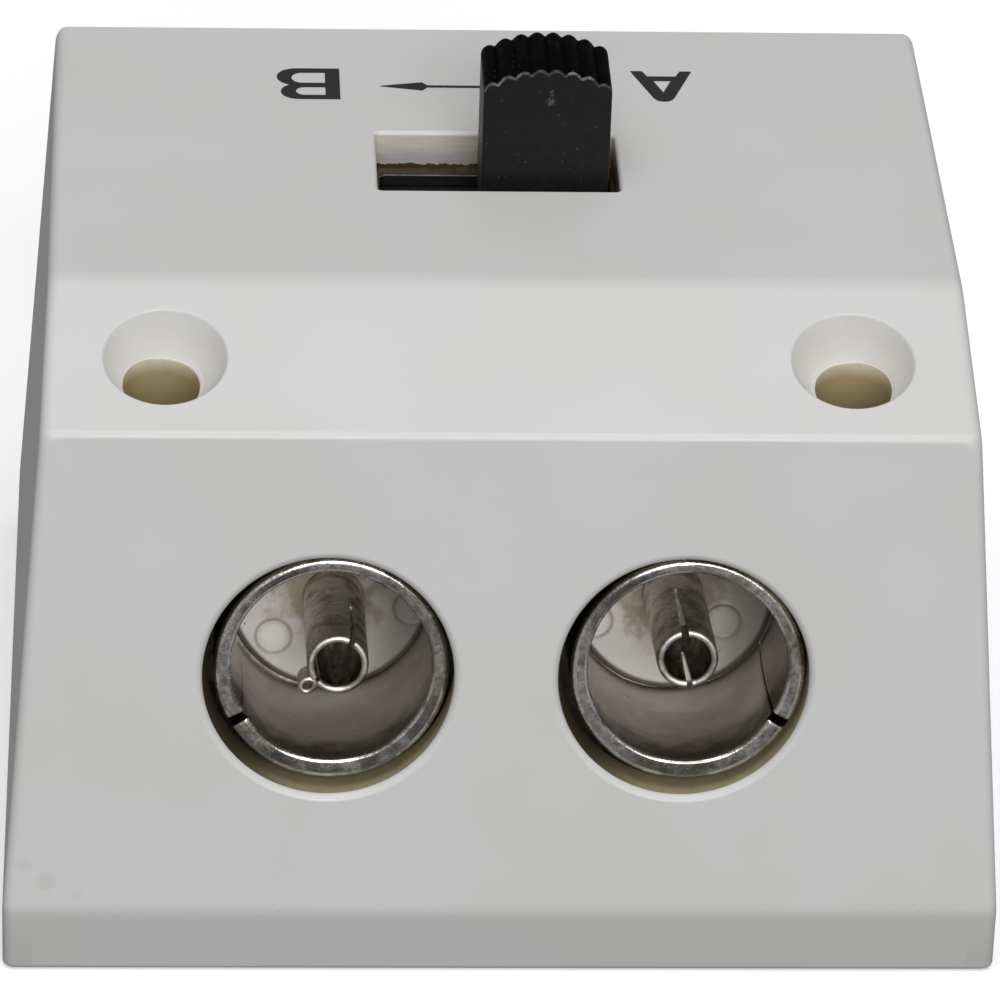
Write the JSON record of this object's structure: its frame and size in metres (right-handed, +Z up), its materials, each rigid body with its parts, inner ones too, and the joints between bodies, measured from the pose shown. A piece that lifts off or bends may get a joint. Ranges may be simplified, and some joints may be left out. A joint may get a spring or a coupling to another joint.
{
  "type": "coaxial aerial selector switch",
  "caption": "Two-way coaxial aerial selector: a white moulded box with two sockets in its leaning front, one behind, and a black slide knob that picks between them.",
  "frame": {"origin": "middle of the footprint, on the surface that the box is screwed to", "axes": "+X along the knob's slide, towards the A socket; -Y the face with two sockets; +Z up, away from the mounting surface"},
  "size_m": [0.0452, 0.04, 0.0346],
  "materials": {
    "cover_plastic": "off-white moulded ABS, semi-gloss, very fine grain",
    "base_plastic": "off-white moulded plate, matt",
    "insulator_plastic": "milky white polyethylene",
    "knob_plastic": "black moulded nylon, satin",
    "nickel": "nickel-plated rolled brass, lightly tarnished",
    "contact_metal": "nickel-plated rolled bronze, lightly tarnished",
    "tinplate": "tinned pressed steel, dull",
    "zinc_steel": "zinc-plated steel",
    "brass": "pressed brass, satin",
    "tinned_copper": "tinned copper wire",
    "phenolic_board": "brown phenolic paper board",
    "black_ink": "black printing ink"
  },
  "bodies": {
    "box": {"top_cover": "cover_plastic", "base_plate": "base_plastic", "base_screws": "zinc_steel", "front_frame": "tinplate", "rear_frame": "tinplate", "frame_rivets": "brass", "earth_wire": "tinned_copper", "sleeve_a": "nickel", "sleeve_b": "nickel", "sleeve_out": "nickel", "insulator_a": "insulator_plastic", "insulator_b": "insulator_plastic", "insulator_out": "insulator_plastic", "contact_a": "contact_metal", "contact_b": "contact_metal", "contact_out": "contact_metal", "switch_frame": "tinplate", "terminal_board": "phenolic_board", "switch_terminals": "brass", "wire_a": "tinned_copper", "wire_b": "tinned_copper", "wire_out": "tinned_copper", "mark_a": "black_ink", "mark_b": "black_ink", "mark_arrow": "black_ink"},
    "slider": {"slider_knob": "knob_plastic", "bridge_contacts": "brass", "detent_spring": "zinc_steel", "detent_balls": "zinc_steel"}
  },
  "joints": [
    {"name": "knob_slide", "type": "slide", "parent": "box", "child": "slider", "axis": [-1, 0, 0], "range_m": [0, 0.0043]}
  ]
}
